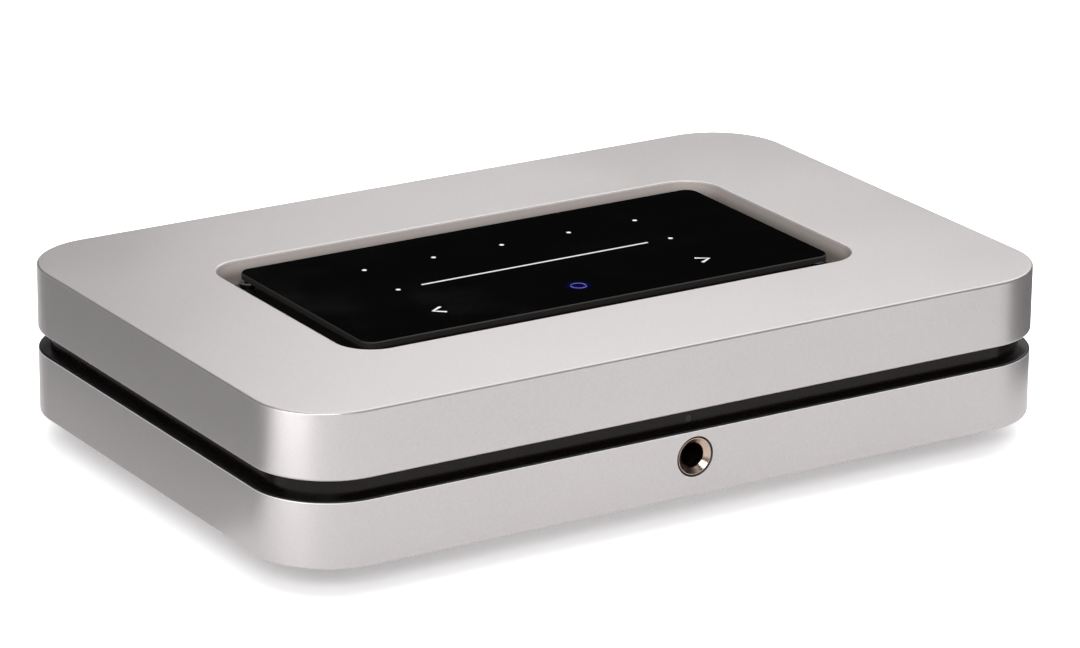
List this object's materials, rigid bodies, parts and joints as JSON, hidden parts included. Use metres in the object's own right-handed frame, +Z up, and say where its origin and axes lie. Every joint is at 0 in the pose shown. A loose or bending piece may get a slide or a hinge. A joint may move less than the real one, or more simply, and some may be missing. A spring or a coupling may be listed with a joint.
{
  "type": "network music streamer",
  "caption": "Compact network music streamer: metal case split by a dark waist band, glass touch plate in a well on top, headphone socket in front, socket bay behind.",
  "frame": {"origin": "on the table under the middle of the case", "axes": "+X to the right seen from the front, +Y to the rear, +Z up"},
  "size_m": [0.22, 0.146, 0.046],
  "materials": {
    "case_aluminium": "fine bead-blasted satin anodised",
    "band_plastic": "moulded, faint satin",
    "panel_glass": "polished black back-painted glass",
    "inner_plastic": "moulded black",
    "light_clear": "smoked clear moulding",
    "mask_sheet": "die-cut black sheet",
    "light_chips": "clear epoxy",
    "foot_rubber": "moulded matt rubber",
    "screw_steel": "black zinc-plated steel",
    "spacer_brass": "turned brass",
    "board_laminate": "glass-fibre board with solder mask",
    "chip_plastic": "moulded epoxy",
    "sink_aluminium": "black anodised extrusion",
    "can_steel": "tin-plated sheet steel",
    "film_box": "moulded box with resin face",
    "electrolytic_sleeve": "shrunk sleeve",
    "coil_ferrite": "pressed ferrite",
    "socket_plastic": "moulded black",
    "contact_gold": "gold-plated contact",
    "plated_nickel": "polished nickel plate",
    "insert_plastic": "moulded white",
    "ribbon_film": "laminated film",
    "insulator_film": "fish paper",
    "coil_tape": "yellow winding tape",
    "fuse_ceramic": "glazed tube with plated caps",
    "suppressor_box": "moulded box",
    "lead_sleeve": "soft sheath",
    "coax_sleeve": "thin black sheath"
  },
  "bodies": {
    "case": {"lower_shell": "case_aluminium", "upper_shell": "case_aluminium", "waist_band": "band_plastic", "rear_panel": "inner_plastic", "rear_frame": "inner_plastic", "feet": "foot_rubber", "foot_screws": "screw_steel", "case_screws": "screw_steel", "status_light_pipe": "light_clear", "receiver_board": "board_laminate", "remote_receiver": "chip_plastic", "well_tray": "inner_plastic", "well_screws": "screw_steel", "panel_carrier": "inner_plastic", "touch_glass": "panel_glass", "light_mask": "mask_sheet", "touch_board": "board_laminate", "panel_lights": "light_chips", "ribbon_sockets": "insert_plastic", "touch_ribbon": "ribbon_film", "main_board": "board_laminate", "power_board": "board_laminate", "power_insulator": "insulator_film", "board_spacers": "spacer_brass", "board_screws": "screw_steel", "processor": "chip_plastic", "heat_sink": "sink_aluminium", "board_chips": "chip_plastic", "wireless_can": "can_steel", "film_capacitors": "film_box", "electrolytic_capacitors": "electrolytic_sleeve", "choke_coils": "coil_ferrite", "chip_parts": "coil_ferrite", "mains_inlet": "socket_plastic", "mains_pins": "plated_nickel", "lan_jack": "socket_plastic", "lan_contacts": "contact_gold", "usb_shell": "can_steel", "usb_tongue": "socket_plastic", "hdmi_shell": "can_steel", "hdmi_tongue": "socket_plastic", "optical_socket": "socket_plastic", "mini_jack": "socket_plastic", "phono_block": "socket_plastic", "phono_sleeves": "contact_gold", "phono_inserts": "insert_plastic", "headphone_body": "socket_plastic", "headphone_bushing": "plated_nickel", "fuse": "fuse_ceramic", "suppression_capacitor": "suppressor_box", "bulk_capacitors": "electrolytic_sleeve", "transformer_core": "coil_ferrite", "transformer_coil": "coil_tape", "lead_sockets": "insert_plastic", "power_lead": "lead_sleeve", "antennas": "board_laminate", "antenna_leads": "coax_sleeve"},
    "shutter": {"optical_shutter": "socket_plastic"},
    "ring_spring": {"ring_contact": "contact_gold"},
    "tip_spring": {"tip_contact": "contact_gold"}
  },
  "joints": [
    {"name": "shutter_swing", "type": "hinge", "parent": "case", "child": "shutter", "pos_m": [-0.012, 0.06303, 0.02473], "axis": [-1, 0, 0], "range_deg": [0, 85], "stiffness_Nm_per_rad": 0.0006, "springref_deg": -20.05},
    {"name": "ring_spring_flex", "type": "hinge", "parent": "case", "child": "ring_spring", "pos_m": [0.00438, -0.06, 0.0173], "axis": [0, 0, -1], "range_deg": [0, 6], "stiffness_Nm_per_rad": 0.02, "springref_deg": -2.86},
    {"name": "tip_spring_flex", "type": "hinge", "parent": "case", "child": "tip_spring", "pos_m": [-0.00438, -0.05, 0.0173], "axis": [0, 0, 1], "range_deg": [0, 6], "stiffness_Nm_per_rad": 0.02, "springref_deg": -2.86}
  ]
}
